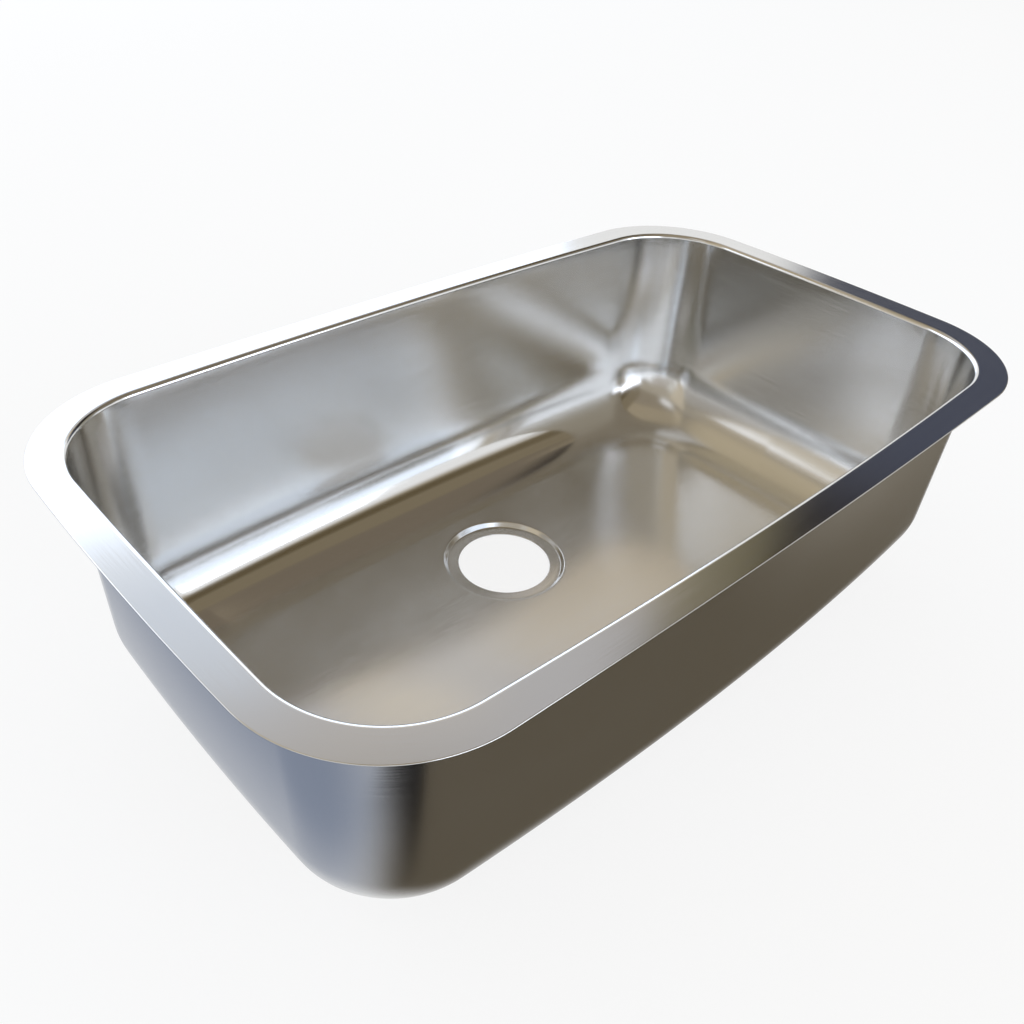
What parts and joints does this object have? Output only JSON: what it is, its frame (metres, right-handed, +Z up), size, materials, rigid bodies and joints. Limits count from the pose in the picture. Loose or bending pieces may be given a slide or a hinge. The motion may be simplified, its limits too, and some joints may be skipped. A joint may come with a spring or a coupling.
{
  "type": "undermount kitchen sink",
  "caption": "Undermount kitchen sink: a deep-drawn rectangular bowl with a flat mounting flange, a dished floor and a recessed drain opening set toward the back.",
  "frame": {"origin": "centre of the overall footprint, at the level of the lowest face, which is the underside of the drain seat", "axes": "+X along the length, +Y to the back wall (the side the drain is nearer to), +Z up out of the bowl"},
  "size_m": [0.762, 0.4548, 0.2252],
  "materials": {
    "satin_stainless": "satin, fine brushed lines, soft mirror reflections",
    "pad_rubber": "matt sheet rubber with a faint cloth grain"
  },
  "bodies": {
    "root": {"bowl": "satin_stainless", "pad_left": "pad_rubber", "pad_right": "pad_rubber", "pad_front": "pad_rubber"}
  },
  "joints": []
}
